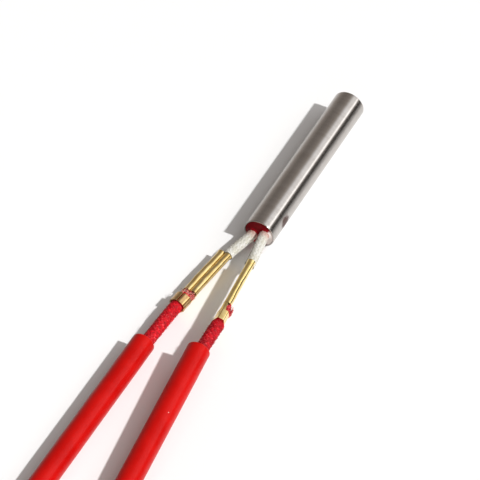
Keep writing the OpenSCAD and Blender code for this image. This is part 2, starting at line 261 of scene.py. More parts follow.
def material(name, color, roughness, **sockets):
    """A Principled material and its graph; sockets are set by their names with _ for a space."""
    made = bpy.data.materials.new(name)
    made.use_nodes = True
    g = Graph(made.node_tree)
    g.shader = made.node_tree.nodes["Principled BSDF"]
    g.feed(g.shader.inputs["Base Color"], color)
    g.feed(g.shader.inputs["Roughness"], roughness)
    for key, value in sockets.items():
        g.feed(g.shader.inputs[key.replace("_", " ")], value)
    made.diffuse_color = (*color, 1)
    return made, g


def set_color(g, value):
    g.feed(g.shader.inputs["Base Color"], value)


def set_roughness(g, value):
    g.feed(g.shader.inputs["Roughness"], value)


def set_normal(g, value):
    g.feed(g.shader.inputs["Normal"], value)


def set_fibres(g):
    """Fine fibres along the yarns of a braid, as bumps."""
    fibres = g.math("SINE", g.math("MULTIPLY", g.attribute("yarn"), 30.0))
    height = g.math("ADD", g.noise(g.stretched(7000), 2.0), g.math("MULTIPLY", fibres, 0.3))
    set_normal(g, g.bump(height, 0.05, 0.6))


def ground_steel():
    """Centreless-ground stainless: fine rings round the axis, and a heat-stained smudge by the mouth."""
    made, g = material(
        "ground_steel", (0.45, 0.425, 0.405), 0.22,
        Metallic=1.0, Anisotropic=0.7, Anisotropic_Rotation=0.25,
    )
    tangent = g.node("ShaderNodeTangent", direction_type="RADIAL", axis="X")
    g.feed(g.shader.inputs["Tangent"], tangent.outputs[0])
    rings = g.noise(g.stretched((5200, 140, 140)), 4.0, 0.7)
    bands = g.noise(g.stretched((420, 30, 30)), 3.0, 0.6)
    tone = g.mix(g.spread(bands, 0.3, 0.7), (0.42, 0.39, 0.365), (0.465, 0.44, 0.42))
    tone = g.mix(g.spread(rings, 0.35, 0.65, 0.0, 0.25), tone, (0.54, 0.515, 0.495))
    near = g.distance((6.1, -3.9, 0.3), (0.85, 1, 1))
    ragged = g.math("ADD", near, g.math("MULTIPLY", g.noise(g.stretched(1500)), 1.6))
    stain = g.spread(ragged, 2.8, 1.8)
    set_color(g, g.mix(stain, tone, (0.07, 0.036, 0.03)))
    g.feed(g.shader.inputs["Metallic"], g.spread(stain, 0.0, 1.0, 1.0, 0.15))
    ground = g.spread(rings, 0.25, 0.75, 0.19, 0.25)
    set_roughness(g, g.math("ADD", ground, g.math("MULTIPLY", stain, 0.3)))
    set_normal(g, g.bump(rings, 0.001, 0.4))
    return made


def turned_steel():
    """The welded end disc, with turning marks round its centre."""
    made, g = material("turned_steel", (0.48, 0.46, 0.44), 0.34, Metallic=1.0)
    y, z = g.split(g.coordinate())[1:]
    out = g.math("SQRT", g.math("ADD", g.math("MULTIPLY", y, y), g.math("MULTIPLY", z, z)))
    marks = g.noise(g.join(g.math("MULTIPLY", out, 7000.0), 0.0, 0.0))
    set_color(g, g.mix(g.spread(marks, 0.3, 0.7), (0.4, 0.385, 0.37), (0.52, 0.5, 0.48)))
    set_roughness(g, g.spread(marks, 0.3, 0.7, 0.28, 0.42))
    set_normal(g, g.bump(marks, 0.006, 0.6))
    return made


def seal_rubber():
    """Dark red potting silicone: smooth, with a pale grey-pink patch beside the right sleeve."""
    made, g = material("seal_rubber", (0.15, 0.002, 0.005), 0.45, Specular_IOR_Level=0.1)
    flow = g.noise(g.stretched(900), 2.0)
    tone = g.mix(flow, (0.2, 0.001, 0.004), (0.32, 0.003, 0.01))
    near = g.distance((0.0, -3.5, -0.8), (0.2, 1, 0.8))
    pale_area = g.spread(g.math("ADD", near, g.math("MULTIPLY", flow, 0.8)), 3.0, 2.4)
    set_color(g, g.mix(g.math("MULTIPLY", pale_area, 0.94), tone, (0.84, 0.77, 0.73)))
    set_normal(g, g.bump(g.noise(g.stretched(1600), 2.0), 0.04, 0.3))
    return made


def glass_cloth():
    """White glass braid, yellowed a little, with painted shade between its yarns, and stained red where it
    leaves the seal.
    """
    made, g = material("glass_cloth", (0.58, 0.57, 0.52), 0.7, Sheen_Weight=0.1, Sheen_Roughness=0.5)
    high = g.attribute("high")
    age = g.noise(g.stretched(450), 3.0)
    tone = g.mix(g.spread(age, 0.35, 0.7), (0.7, 0.69, 0.66), (0.6, 0.58, 0.5))
    tone = g.mix(g.math("MULTIPLY", g.attribute("chance"), 0.25), tone, (0.42, 0.4, 0.34))
    tone = g.mix(g.math("MULTIPLY", g.attribute("column"), 0.4), tone, (0.4, 0.38, 0.3))
    # Painted shade: darker where the weave is low, between the yarns
    tone = g.mix(g.spread(high, 0.7, 0.15, 0.0, 0.6), tone, (0.28, 0.26, 0.19))
    x = g.math("DIVIDE", g.split(g.coordinate())[0], MM)
    ragged = g.math("ADD", x, g.math("MULTIPLY", g.noise(g.stretched(1100)), 2.4))
    tone = g.mix(g.spread(ragged, -1.5, 1.1, 0.0, 0.65), tone, (0.42, 0.13, 0.08))
    set_color(g, tone)
    set_fibres(g)
    return made


def red_cloth():
    """Red glass braid of the leads: varnished yarns, with painted shade between them and painted highlights
    as pale patches on their crowns.
    """
    made, g = material("red_cloth", (0.6, 0.008, 0.016), 0.5, Specular_IOR_Level=0.14)
    high = g.attribute("high")
    dye = g.noise(g.stretched(900), 3.0)
    tone = g.mix(g.spread(dye, 0.35, 0.65), (0.42, 0.002, 0.008), (0.68, 0.006, 0.015))
    deep = g.math("MULTIPLY", g.attribute("deep"), g.spread(dye, 0.3, 0.65, 1.0, 0.4))
    tone = g.mix(deep, tone, (0.2, 0.002, 0.006))
    chance = g.attribute("chance")
    tone = g.mix(g.spread(chance, 0.6, 0.0, 0.0, 0.5), tone, (0.3, 0.002, 0.007))
    # Painted shade: darker where the weave is low, between the yarns
    tone = g.mix(g.spread(high, 0.7, 0.2, 0.0, 0.7), tone, (0.16, 0.001, 0.004))
    # Painted highlight: pale pink patches on the yarns' crowns
    highlight_patch = g.spread(g.noise(g.stretched(1700)), 0.53, 0.62)
    crown_highlight = g.math("MULTIPLY", g.spread(high, 0.6, 0.95), g.math("MULTIPLY", highlight_patch, chance))
    set_color(g, g.mix(g.math("MULTIPLY", crown_highlight, 0.5), tone, (0.9, 0.16, 0.17)))
    set_roughness(g, g.spread(dye, 0.3, 0.7, 0.42, 0.62))
    set_fibres(g)
    return made


def red_fibre():
    """Loose red fibres, paler where they thin out."""
    made, g = material("red_fibre", (0.5, 0.008, 0.016), 0.5, Specular_IOR_Level=0.2)
    share = g.noise(g.stretched(2600), 2.0)
    tone = g.mix(g.spread(share, 0.35, 0.7), (0.38, 0.006, 0.012), (0.72, 0.08, 0.09))
    set_color(g, g.mix(g.attribute("pale"), tone, (0.68, 0.29, 0.23)))
    return made


def red_silicone():
    """Smooth silicone sleeving: satin, slightly milky, with dust on it."""
    made, g = material(
        "red_silicone", (0.48, 0.004, 0.002), 0.3, Specular_IOR_Level=0.14,
        Subsurface_Weight=0.04, Subsurface_Scale=0.001, Subsurface_Radius=(1.0, 0.2, 0.1),
    )
    cloud = g.noise(g.stretched(160), 3.0)
    tone = g.mix(g.spread(cloud, 0.3, 0.7), (0.44, 0.002, 0.001), (0.51, 0.0035, 0.002))
    dust = g.specks(330.0)
    rare = g.spread(g.noise(g.stretched(210), 1.0), 0.58, 0.66)
    fleck = g.math("MULTIPLY", g.spread(dust, 0.055, 0.03), rare)
    set_color(g, g.mix(fleck, tone, (0.85, 0.7, 0.66)))
    set_roughness(g, g.spread(cloud, 0.3, 0.7, 0.28, 0.36))
    set_normal(g, g.bump(g.noise(g.stretched((1400, 2600, 2600)), 2.0), 0.03, 0.25))
    return made


def bright_brass():
    """Stamped brass strip: drawn along its length, brown where it is dull."""
    made, g = material("bright_brass", (0.86, 0.66, 0.27), 0.13, Metallic=1.0)
    drawn = g.noise(g.stretched((200, 3600, 3600)), 3.0, 0.6)
    cloud = g.noise(g.stretched(520), 3.0)
    tone = g.mix(g.spread(cloud, 0.35, 0.7), (0.93, 0.74, 0.34), (0.8, 0.58, 0.2))
    tone = g.mix(g.spread(drawn, 0.4, 0.65, 0.0, 0.25), tone, (0.95, 0.82, 0.48))
    dull = g.math("MULTIPLY", g.attribute("dull"), g.spread(cloud, 0.2, 0.6, 0.6, 1.0))
    set_color(g, g.mix(dull, tone, (0.46, 0.25, 0.11)))
    set_roughness(g, g.spread(drawn, 0.3, 0.7, 0.08, 0.14))
    set_normal(g, g.bump(drawn, 0.003, 0.4))
    return made


def drawn_metal(name, color, roughness):
    """Plain drawn wire, streaked by the die."""
    made, g = material(name, color, roughness, Metallic=1.0)
    streaks = g.noise(g.stretched((700, 6000, 6000)), 3.0)
    set_color(g, g.mix(g.spread(streaks, 0.3, 0.7), tuple(0.75 * c for c in color), color))
    set_roughness(g, g.spread(streaks, 0.3, 0.7, roughness - 0.06, roughness + 0.08))
    return made


def pressed_magnesia():
    """Chalky pressed magnesia."""
    made, g = material("pressed_magnesia", (0.82, 0.8, 0.75), 0.85)
    grain = g.noise(g.stretched(3500), 4.0)
    set_color(g, g.mix(grain, (0.74, 0.71, 0.66), (0.88, 0.87, 0.83)))
    set_normal(g, g.bump(grain, 0.03, 0.5))
    return made


def tie_plastic():
    """Natural nylon, a little cloudy."""
    made, g = material(
        "tie_plastic", (0.78, 0.77, 0.7), 0.42, Subsurface_Weight=0.2, Subsurface_Scale=0.001
    )
    cloud = g.noise(g.stretched(600), 3.0)
    set_color(g, g.mix(cloud, (0.72, 0.71, 0.64), (0.84, 0.83, 0.77)))
    set_roughness(g, g.spread(cloud, 0.3, 0.7, 0.36, 0.5))
    return made


def white_floor():
    """A smooth white sheet."""
    return material(
        "white_floor", (0.96, 0.96, 0.96), 0.3,
        Specular_IOR_Level=0.5, Coat_Weight=1.0, Coat_IOR=1.6, Coat_Roughness=0.15,
    )[0]


# Shapes

def unit(v):
    return v / np.linalg.norm(v)


def cumulative(points):
    return np.concatenate([[0], np.cumsum(np.linalg.norm(np.diff(points, axis=0), axis=1))])


def resampled(points, step):
    """Points spaced evenly along a smooth curve through the given ones."""
    points = np.asarray(points, float)
    ends = np.vstack([2 * points[0] - points[1], points, 2 * points[-1] - points[-2]])
    fine = []
    for i in range(len(points) - 1):
        p0, p1, p2, p3 = ends[i:i + 4]
        k1, k2, k3 = (max(np.linalg.norm(b - a), 1e-9) ** 0.5 for a, b in ((p0, p1), (p1, p2), (p2, p3)))
        m1 = (p1 - p0) / k1 - (p2 - p0) / (k1 + k2) + (p2 - p1) / k2
        m2 = (p2 - p1) / k2 - (p3 - p1) / (k2 + k3) + (p3 - p2) / k3
        for t in np.linspace(0, 1, 12, endpoint=False):
            h = (2 * t**3 - 3 * t**2 + 1, t**3 - 2 * t**2 + t, -2 * t**3 + 3 * t**2, t**3 - t**2)
            fine.append(h[0] * p1 + h[1] * m1 * k2 + h[2] * p2 + h[3] * m2 * k2)
    fine = np.vstack([fine, points[-1]])
    s = cumulative(fine)
    at = np.linspace(0, s[-1], max(2, round(s[-1] / step) + 1))
    return np.column_stack([np.interp(at, s, fine[:, k]) for k in range(3)])


def carried_frames(points):
    """Directions along a path and two across it, carried without twist."""
    along = np.gradient(points, axis=0)
    along /= np.linalg.norm(along, axis=1)[:, None]
    first = np.cross(along[0], (0, 0, 1))
    n = [unit(first if np.linalg.norm(first) > 0.1 else np.cross(along[0], (0, 1, 0)))]
    for t in along[1:]:
        n.append(unit(n[-1] - (n[-1] @ t) * t))
    n = np.array(n)
    return along, n, np.cross(along, n)


def filleted(corners, radius, steps=8):
    """A path of straight runs with its corners turned into arcs."""
    corners = [np.asarray(c, float) for c in corners]
    out = [corners[0]]
    for a, b, c in zip(corners, corners[1:], corners[2:]):
        t, w = unit(b - a), unit(c - b)
        turn = math.acos(min(1.0, t @ w))
        if turn < 1e-4:
            continue
        n = unit(w - (w @ t) * t)
        centre = b - t * radius * math.tan(turn / 2) + radius * n
        for k in range(steps + 1):
            angle = turn * k / steps
            out.append(centre - radius * math.cos(angle) * n + radius * math.sin(angle) * t)
    out.append(corners[-1])
    return np.array(out)


def ring_angles(sides):
    return 2 * math.pi * np.arange(sides) / sides


def eased(share):
    return share**2 * (3 - 2 * share)


def round_path(path, radii, sides):
    """Rings of points round a path; radii is a number, one for each ring, or one for each point."""
    _, n, b = carried_frames(path)
    angle = ring_angles(sides)
    out = np.cos(angle)[None, :, None] * n[:, None, :] + np.sin(angle)[None, :, None] * b[:, None, :]
    radii = np.asarray(radii, float)
    if radii.ndim == 1:
        radii = radii[:, None]
    if radii.ndim == 2:
        radii = radii[:, :, None]
    return path[:, None, :] + radii * out


def grid_faces(rows, columns, closed=True, start=0, flip=False):
    faces = []
    for i in range(rows - 1):
        for k in range(columns if closed else columns - 1):
            j = (k + 1) % columns
            a, b = start + i * columns, start + (i + 1) * columns
            face = (a + k, a + j, b + j, b + k)
            faces.append(face[::-1] if flip else face)
    return faces


def rod_faces(rows, sides):
    """Faces of a rod of rings, closed at both ends."""
    last = (rows - 1) * sides
    caps = [tuple(range(sides))[::-1], tuple(last + k for k in range(sides))]
    return grid_faces(rows, sides) + caps


def pipe_faces(rows, sides):
    """Faces of a pipe: rings of its outside, then as many of its inside, joined at both ends."""
    half, last = rows * sides, (rows - 1) * sides
    faces = grid_faces(rows, sides) + grid_faces(rows, sides, True, half, True)
    for k in range(sides):
        j = (k + 1) % sides
        faces.append((j, k, half + k, half + j))
        faces.append((last + k, last + j, half + last + j, half + last + k))
    return faces


def stacked(*sheets):
    return np.concatenate([sheet.reshape(-1, 3) for sheet in sheets])


class Shape:
    """Points and faces in millimetres, added to piece by piece, with a few values for each point."""

    def __init__(self):
        self.points, self.faces, self.values = [], [], {}
        self.count = 0

    def add(self, points, faces, **values):
        points = np.asarray(points, float).reshape(-1, 3)
        self.points.append(points)
        self.faces += [tuple(i + self.count for i in f) for f in faces]
        for name in set(values) | set(self.values):
            rows = self.values.setdefault(name, [np.zeros(self.count)])
            given = values.get(name)
            rows.append(np.zeros(len(points)) if given is None else np.asarray(given, float).ravel())
        self.count += len(points)
        return self

    def rod(self, path, radii, sides, **values):
        return self.add(round_path(path, radii, sides), rod_faces(len(path), sides), **values)

    def grid_strip(self, outer, inner, **values):
        """A strip of some thickness: outer and inner are rows of points, [station, across]."""
        rows, columns = outer.shape[:2]
        half, edge = rows * columns, columns - 1
        faces = grid_faces(rows, columns, False) + grid_faces(rows, columns, False, half, True)
        for i in range(rows - 1):
            a, b = i * columns, (i + 1) * columns
            faces.append((a, b, half + b, half + a))
            faces.append((b + edge, a + edge, half + a + edge, half + b + edge))
        last = (rows - 1) * columns
        for k in range(columns - 1):
            faces.append((k + 1, k, half + k, half + k + 1))
            faces.append((last + k, last + k + 1, half + last + k + 1, half + last + k))
        return self.add(stacked(outer, inner), faces, **values)


def make_piece(name, shape, look, replaces=(), sharp=40):
    mesh = bpy.data.meshes.new(name)
    mesh.from_pydata((np.concatenate(shape.points) * MM).tolist(), [], shape.faces)
    for key, rows in shape.values.items():
        attribute = mesh.attributes.new(key, "FLOAT", "POINT")
        attribute.data.foreach_set("value", np.concatenate(rows).astype(np.float32))
    mesh.polygons.foreach_set("use_smooth", [True] * len(mesh.polygons))
    mesh.set_sharp_from_angle(angle=math.radians(sharp))
    mesh.update()
    mesh.validate()
    mesh.materials.append(look)
    piece = bpy.data.objects.new(name, mesh)
    bpy.context.scene.collection.objects.link(piece)
    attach(piece, "root")
    if replaces:
        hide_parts(*replaces)
    return piece


def softened(piece, width):
    """The piece with its sharp edges rounded."""
    made = piece.modifiers.new("edges", "BEVEL")
    made.width, made.segments = width * MM, 2
    made.limit_method, made.angle_limit = "ANGLE", math.radians(35)
    return piece


def woven(path, radius, yarns, pitch, depth, sides, stray, taper=None):
    """Rings of a braided tube: yarns wind both ways, over and under each other, and stray a little.

    Each point gets its height in the weave, its place across its yarn and a random share of its crossing.
    """
    draw = random.Random(yarns)
    s = cumulative(path)[:, None]
    turn = (np.arange(sides) / sides)[None, :]

    def sway():
        total = 0
        for _ in range(6):
            around, run, phase = draw.randint(-3, 3), draw.uniform(0.5, 3.0), draw.uniform(0, 2 * math.pi)
            total = total + np.sin(2 * math.pi * (around * turn + run * s / pitch) + phase)
        return stray * total / 2

    def hump(x):
        return np.sqrt(np.clip(1 - (2.12 * (x - np.round(x))) ** 2, 0, 1))

    a, b = yarns * (turn - s / pitch) + sway(), yarns * (turn + s / pitch) + sway()
    over = 0.5 + 0.5 * np.cos(math.pi * (b - a))
    crossing = 12.99 * np.mod(np.round(a), yarns) + 78.23 * np.round(b - a)
    chance = np.modf(np.abs(np.sin(crossing) * 43758.5))[0]
    one, two = hump(a) * (0.3 + 0.7 * over), hump(b) * (1 - 0.7 * over)
    high = np.maximum(one, two)
    yarn = np.where(one > two, a - np.round(a), b - np.round(b))
    radii = radius - depth + depth * high * (0.7 + 0.3 * chance)
    if taper is not None:
        radii = radii * taper(s)
    return round_path(path, radii, sides), {"high": high, "yarn": yarn, "chance": chance}


# Places in the splices

def splice_axes(side):
    a, r = SPLICE_HEADING[side], SPLICE_ROLL[side]
    x = np.array([math.cos(a), math.sin(a), 0.0])
    y = np.cross((0, 0, 1), x) * math.cos(r) + np.array([0, 0, math.sin(r)])
    return np.array([x, y, np.cross(x, y)])


def in_splice(side, points):
    return np.asarray(SPLICE_AT[side]) + np.asarray(points, float) @ splice_axes(side)


def pressed(side, points):
    """Points of the lead's front, flattened as far back as the insulation grip holds it."""
    local = (points - np.asarray(SPLICE_AT[side])) @ splice_axes(side).T
    past = np.clip((local[..., 0] - BARREL_L - SPLICE_GAP - GRIP_L) / SWELL_L, 0, 1)
    kept = GRIP_SQUASH[side] + (1 - GRIP_SQUASH[side]) * eased(past)
    local[..., 2] = WIRE_RISE + kept * (local[..., 2] - WIRE_RISE)
    return in_splice(side, local)


def pin_axis(side, x):
    across = SIGN[side] * PIN_PITCH / 2
    return np.array([x, across * math.cos(PIN_ROLL), -across * math.sin(PIN_ROLL)])


def sleeve_line(side, s):
    start, end = np.asarray(SLEEVE_FROM[side]), np.asarray(SLEEVE_TO[side])
    return start + np.multiply.outer(s, unit(end - start))


def lead_points(side):
    """The lead from its splice, through the joint sleeve, out and back in the hank."""
    grip = BARREL_L + SPLICE_GAP
    held = (BARREL_L + STRIP_GAP, grip + GRIP_L / 2, grip + GRIP_L + 1)
    points = [in_splice(side, (x, 0, WIRE_RISE)) for x in held]
    points += [np.array(p) for p in ROUTE_TO_SLEEVE[side]]
    points += list(sleeve_line(side, np.linspace(0, SLEEVE_L, 11)) + LEAD_SHIFT)
    points += [np.array(p) for p in ROUTE_TO_HANK[side]]
    y, z = SIGN[side] * FOLD_R, LAYER_Z[side]
    points += [np.array((x, y, z)) for x in np.linspace(HANK_BACK_X, FOLD_X, 8)]
    for angle in np.radians(np.arange(12, 180, 12)):
        points.append(np.array((FOLD_X - FOLD_R * math.sin(angle), y * math.cos(angle), z)))
    points += [np.array((x, -y, z)) for x in np.linspace(FOLD_X, HANK_BACK_X, 8)]
    return points


def run_to_sleeve(side, path, along):
    """How far along a lead's path it comes nearest to a place on its sleeve."""
    return cumulative(path)[np.argmin(np.linalg.norm(path - sleeve_line(side, along), axis=1))]


# Pieces

def make_lead(side, look):
    """The braided lead: fine where it shows, plain inside its sleeve, coarser in the hank."""
    path = resampled(lead_points(side), 0.5)
    s = cumulative(path)
    tucked = 4.0
    inside = run_to_sleeve(side, path, tucked)
    outside = run_to_sleeve(side, path, SLEEVE_L - tucked)
    shape = Shape()
    yarns, pitch, depth, stray = 8, 10.0, 0.22, 0.22
    deep = 0.0 if side == LEFT else 0.6

    def part(start, end):
        return path[(s >= start - 1e-6) & (s <= end + 1e-6)]

    def front(at):
        return 1 - 0.16 * np.exp(-at / 0.35)

    for points, step, sides, taper in (
        (part(0, inside), 0.11, 96, front),
        (part(outside, s[-1]), 0.24, 60, None),
    ):
        fine = resampled(points, step)
        rings, weave = woven(fine, WIRE_R, yarns, pitch, depth, sides, stray, taper)
        weave["deep"] = np.full(weave["high"].shape, deep)
        if taper is front:
            rings = pressed(side, rings)
        shape.add(rings, rod_faces(len(fine), sides), **weave)
    hidden, sides = resampled(part(inside, outside), 2.5), 16
    shape.rod(hidden, WIRE_R - depth / 2, sides, high=np.ones(len(hidden) * sides))
    solids = [f"{side}_lead_wire", f"{side}_lead_hank"]
    piece = make_piece(f"{side}_lead", shape, look, solids, 80)
    return piece, resampled(lead_points(side), 3.0)


def make_joint_sleeve(side, look):
    """Silicone sleeving with soft cut ends, a touch out of round."""
    sides, rounding = 72, 0.16
    ends = np.array([0.0, 0.05, rounding, 0.4])
    along = np.concatenate([ends, np.linspace(1.2, SLEEVE_L - 1.2, 48), SLEEVE_L - ends[::-1]])
    edge = np.minimum(along, SLEEVE_L - along)
    drawn_in = rounding * np.clip(1 - edge / rounding, 0, 1) ** 2
    path = sleeve_line(side, along)
    turn = ring_angles(sides)
    wave = 0.035 * np.sin(2 * turn[None, :] + along[:, None] / 13) + 0.02 * np.sin(along[:, None] / 5.5)
    settle = np.clip(edge / 3, 0, 1)[:, None]
    outer = round_path(path, SLEEVE_R - 0.03 - drawn_in[:, None] + wave * settle * 0.6, sides)
    inner = round_path(path, SLEEVE_IR + drawn_in[:, None] * 0.6 + np.zeros((1, sides)), sides)
    shape = Shape().add(stacked(outer, inner), pipe_faces(len(along), sides))
    return make_piece(f"{side}_sleeving", shape, look, [f"{side}_joint_sleeve"], 50)


def twisted_strands(path, pitch, splay=0.0):
    """One straight strand with six wound round it, which may splay at the end."""
    shape = Shape()
    strands, sides, splay_l = 6, 7, 2.0
    thin = STRAND_R / 3
    s = cumulative(path)
    _, n, b = carried_frames(path)
    shape.rod(path, thin, sides)
    for k in range(strands):
        angle = 2 * math.pi * (k / strands + s / pitch)
        out = (2 * thin + splay * np.clip((s - s[-1] + splay_l) / splay_l, 0, 1) ** 2)[:, None]
        shape.rod(path + out * (np.cos(angle)[:, None] * n + np.sin(angle)[:, None] * b), thin, sides)
    return shape


def make_bare_end(side, look):
    y, z = -SIGN[side] * FOLD_R, LAYER_Z[side]
    path = np.array([(x, y, z) for x in np.linspace(HANK_BACK_X + FIT_GAP, HANK_BACK_X + BARE_L, 40)])
    shape = twisted_strands(path, 9.0, 0.12)
    return make_piece(f"{side}_stripped_end", shape, look, [f"{side}_bare_end"])


def make_conductor(side, look):
    """The stripped front of the lead, from its roll of the barrel to the insulation."""
    wire_x0 = BARREL_L + STRIP_GAP
    corners = [
        (STRAND_INSET, -ROLL_Y, 0), (BARREL_L + STRAND_LEAD, -ROLL_Y, 0),
        (wire_x0 - STRAND_LEAD, 0, WIRE_RISE), (wire_x0 + 0.1, 0, WIRE_RISE),
    ]
    path = resampled(in_splice(side, filleted(corners, STRAND_BEND_R)), 0.25)
    shape = twisted_strands(path, 8.0)
    return make_piece(f"{side}_strands", shape, look, [f"{side}_conductor"])


def make_glass_sleeve(side, look):
    """White braid over a pin, from inside the seal to its splice, with pale and dark columns along it."""
    yarns, pitch, depth, stray = 8, 11.0, 0.18, 0.1
    sides, columns, inside = 80, 9, 0.4
    corners = [
        pin_axis(side, SEAL_X1), pin_axis(side, -BEND_OUT),
        in_splice(side, (-PIN_STRAIGHT, ROLL_Y, 0)), in_splice(side, (-FIT_GAP, ROLL_Y, 0)),
    ]
    path = resampled(filleted(corners, BEND_R), 0.09)
    rings, weave = woven(path, GLASS_R, yarns, pitch, depth, sides, stray)
    column = 0.5 + 0.5 * np.cos(columns * ring_angles(sides))
    weave["column"] = np.tile(column, (len(path), 1))
    inner = round_path(path, GLASS_R - GLASS_WALL, sides)
    # Every value on the inside wall is 0.4, so the wall takes part of the painted shade of the crevices
    values = {name: np.concatenate([v.ravel(), np.full(v.size, inside)]) for name, v in weave.items()}
    shape = Shape().add(stacked(rings, inner), pipe_faces(len(path), sides), **values)
    return make_piece(f"{side}_braided_sleeve", shape, look, [f"{side}_glass_sleeve"], 80)


def thickened(middle):
    """Two rows on both sides of a row of (y, z) points, a strip's thickness apart."""
    along = np.gradient(middle, axis=0)
    along /= np.linalg.norm(along, axis=1)[:, None]
    across = np.column_stack([along[:, 1], -along[:, 0]])
    return middle + across * STRIP_T / 2, middle - across * STRIP_T / 2


def barrel_base():
    """Middle of the strip's flat under the two rolls of the barrel."""
    across = np.linspace(-ROLL_Y, ROLL_Y, 8)[1:-1]
    return np.column_stack([across, np.full(len(across), -ROLL_MIDDLE_R)])


def barrel_middle(x, wander):
    """Middle of the strip across the conductor barrel: down one wing, under both rolls, up the other."""
    radius = ROLL_MIDDLE_R
    bell = 1 + 0.09 * math.exp(-x / 0.45) + 0.06 * math.exp(-(BARREL_L - x) / 0.4)
    tuck = math.radians(24 + 14 * math.sin(x * 0.9 + wander))
    left = np.linspace(-tuck, 1.5 * math.pi, 26)
    right = np.linspace(-0.5 * math.pi, math.pi + tuck, 26)
    one = np.column_stack([-ROLL_Y + radius * np.cos(left), radius * np.sin(left)])
    two = np.column_stack([ROLL_Y + radius * np.cos(right), radius * np.sin(right)])
    row = np.concatenate([one, barrel_base(), two])
    seam = np.clip((row[:, 1] - 0.1) / 0.7, 0, 1)
    row[:, 0] += (0.13 * math.sin(x * 0.42 + 2 * wander) + 0.04 * math.sin(x * 1.7 + wander)) * seam
    return row * bell


def grip_middle(side, share):
    """Middle of the strip round the insulation grip: six soft flats, and wings turned in at the seam."""
    gap = math.radians(4)
    angle = np.linspace(math.pi / 2 + gap, 2.5 * math.pi - gap, 91)
    flat = math.pi / 3
    corner = np.mod(angle - math.pi / 2, flat) - flat / 2
    radius = (GRIP_IR + STRIP_T / 2) * (1 + GRIP_FLATS[side] * (0.93 / np.cos(corner) - 1))
    off = np.minimum(angle - math.pi / 2, 2.5 * math.pi - angle)
    radius = radius - 0.16 * np.exp(-(off / 0.16) ** 2)
    radius = radius * (1 + 0.02 * (2 * share - 1) ** 2)
    height = WIRE_RISE + GRIP_SQUASH[side] * radius * np.sin(angle)
    return np.column_stack([radius * np.cos(angle), height])


def web_middle(side, share):
    """Middle of the strip between barrel and grip: an open channel from one section to the other."""
    radius = ROLL_MIDDLE_R
    quarter = np.linspace(0, math.pi / 2, 9)
    outside = np.column_stack([ROLL_Y + radius * np.sin(quarter), -radius * np.cos(quarter)])
    barrel = np.concatenate([outside[::-1] * (-1, 1), barrel_base(), outside])
    # As many points of the grip's lower part as the barrel's row has
    lower_part = slice(22, 69, 2)
    grip = 0.985 * grip_middle(side, 0)[lower_part]
    row = (1 - eased(share)) * barrel + eased(share) * grip
    low = row[:, 1].min()
    row[:, 1] = low + (row[:, 1] - low) * np.interp(share, (0, 0.45, 1), (1.0, 0.9, 1.0))
    return row


def make_splice(side, look):
    """Brass strip rolled into a barrel for pin and strand, an open channel and an insulation grip."""
    shape = Shape()
    wander = 0.4 if side == LEFT else 2.1
    dull_barrel, dull_grip = (0.25, 0.85) if side == LEFT else (0.0, 0.1)

    def strip(stations, middles, dull):
        rows = [thickened(m) for m in middles]
        sheets = []
        for k in (0, 1):
            local = [np.column_stack([np.full(len(r[k]), x), r[k]]) for x, r in zip(stations, rows)]
            sheets.append(np.array([in_splice(side, p) for p in local]))
        shape.grid_strip(*sheets, dull=np.full(2 * sheets[0].shape[0] * sheets[0].shape[1], dull))

    ends = np.array([0, 0.15, 0.35, 0.6, 1.0, 1.5])
    stations = np.concatenate([ends, np.linspace(2.2, BARREL_L - 2.2, 30), BARREL_L - ends[::-1]])
    strip(stations, [barrel_middle(x, wander) for x in stations], dull_barrel)
    shares = np.linspace(0, 1, 12)
    grip_x = BARREL_L + SPLICE_GAP + GRIP_L * shares
    strip(grip_x, [grip_middle(side, share) for share in shares], dull_grip)
    web_x = np.linspace(BARREL_L - 0.3, BARREL_L + SPLICE_GAP + 0.1, 14)
    shares = np.clip((web_x - BARREL_L) / SPLICE_GAP, 0, 1)
    strip(web_x, [web_middle(side, share) for share in shares], dull_barrel)
    piece = make_piece(f"{side}_crimp", shape, look, [f"{side}_splice"], 45)
    return softened(piece, 0.05)


